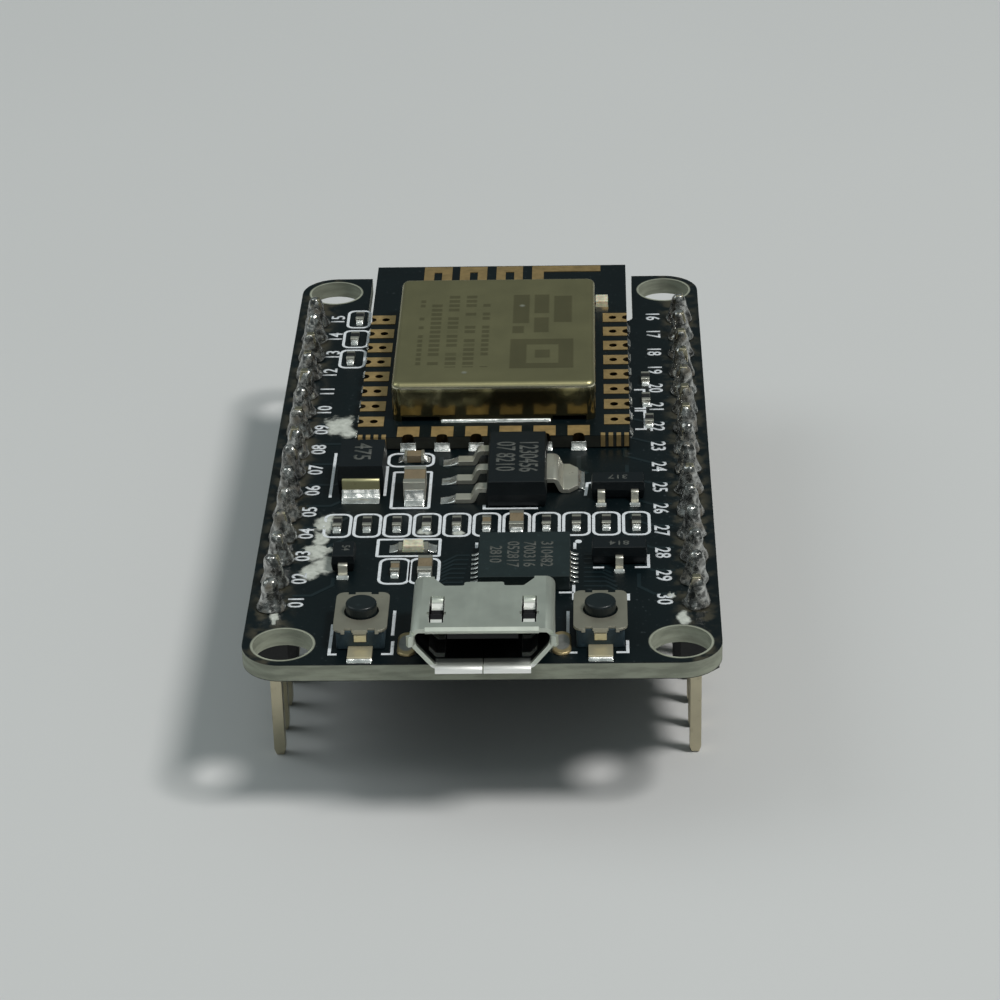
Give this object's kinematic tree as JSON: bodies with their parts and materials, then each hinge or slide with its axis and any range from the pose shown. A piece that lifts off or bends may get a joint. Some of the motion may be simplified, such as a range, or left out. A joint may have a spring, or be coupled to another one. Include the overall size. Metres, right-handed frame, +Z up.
{
  "type": "microcontroller development board",
  "caption": "Black microcontroller board with a shielded radio module, printed antenna, micro USB socket, two push switches and two rows of header pins.",
  "frame": {"origin": "under the middle of the whole object, level with the tips of the header pins", "axes": "+Y along the board from the USB socket to the antenna, +X across the board to the right when seen from above with the antenna at the far end, +Z up out of the component side"},
  "size_m": [0.0254, 0.0492, 0.0126],
  "materials": {
    "solder_mask": "blue-black semi-gloss solder mask on glass-epoxy board",
    "header_plastic": "black moulded header plastic",
    "header_metal": "thin plated square pins",
    "solder": "dull hand solder",
    "reflow_solder": "bright reflowed solder",
    "gold_plating": "dull gold-plated copper",
    "shield_metal": "satin drawn shield metal",
    "chip_plastic": "matt black moulded package",
    "lead_metal": "tin-plated leads",
    "end_cap_metal": "tinned end caps",
    "capacitor_ceramic": "tan fired ceramic",
    "resistor_ceramic": "black glazed resistor face",
    "crystal_metal": "metal crystal lid",
    "led_cream": "cream translucent lamp moulding",
    "usb_metal": "satin nickel-plated shell",
    "usb_plastic": "black heat-proof moulding",
    "contact_gold": "gold-flashed contacts",
    "switch_plastic": "blue-grey switch moulding",
    "switch_metal": "tan-grey switch cover",
    "dome_steel": "sprung stainless dome",
    "button_plastic": "dark grey-green button"
  },
  "bodies": {
    "board": {"ceramic_capacitor_bodies": "capacitor_ceramic", "ceramic_capacitor_ends": "end_cap_metal", "chip_resistor_bodies": "resistor_ceramic", "chip_resistor_ends": "end_cap_metal", "component_solder": "reflow_solder", "diode_body": "chip_plastic", "diode_leads": "lead_metal", "flash_chip": "chip_plastic", "flash_chip_leads": "lead_metal", "flash_switch_base": "switch_plastic", "flash_switch_cover": "switch_metal", "flash_switch_dome": "dome_steel", "flash_switch_terminals": "contact_gold", "header_pins_left": "header_metal", "header_pins_right": "header_metal", "header_solder_left": "solder", "header_solder_right": "solder", "header_strip_left": "header_plastic", "header_strip_right": "header_plastic", "main_board": "solder_mask", "module_antenna": "gold_plating", "module_board": "solder_mask", "module_crystal": "crystal_metal", "module_led": "led_cream", "module_led_ends": "end_cap_metal", "module_pads": "gold_plating", "module_passives": "resistor_ceramic", "module_shield": "shield_metal", "module_solder": "reflow_solder", "power_led_base": "led_cream", "power_led_ends": "end_cap_metal", "power_led_lens": "led_cream", "radio_chip": "chip_plastic", "regulator_body": "chip_plastic", "regulator_leads": "lead_metal", "regulator_tab": "lead_metal", "reset_switch_base": "switch_plastic", "reset_switch_cover": "switch_metal", "reset_switch_dome": "dome_steel", "reset_switch_terminals": "contact_gold", "tantalum_body": "chip_plastic", "tantalum_terminals": "lead_metal", "transistor_bodies": "chip_plastic", "transistor_leads": "lead_metal", "usb_anchor_solder": "solder", "usb_contacts": "contact_gold", "usb_insulator": "usb_plastic", "usb_serial_chip": "chip_plastic", "usb_serial_pads": "lead_metal", "usb_shell": "usb_metal"},
    "reset_plunger": {"reset_button": "button_plastic"},
    "flash_plunger": {"flash_button": "button_plastic"}
  },
  "joints": [
    {"name": "reset_press", "type": "slide", "parent": "board", "child": "reset_plunger", "axis": [0, 0, -1], "range_m": [0, 0.0002], "stiffness_N_per_m": 6000, "deforming": ["reset_switch_dome"]},
    {"name": "flash_press", "type": "slide", "parent": "board", "child": "flash_plunger", "axis": [0, 0, -1], "range_m": [0, 0.0002], "stiffness_N_per_m": 6000, "deforming": ["flash_switch_dome"]}
  ]
}
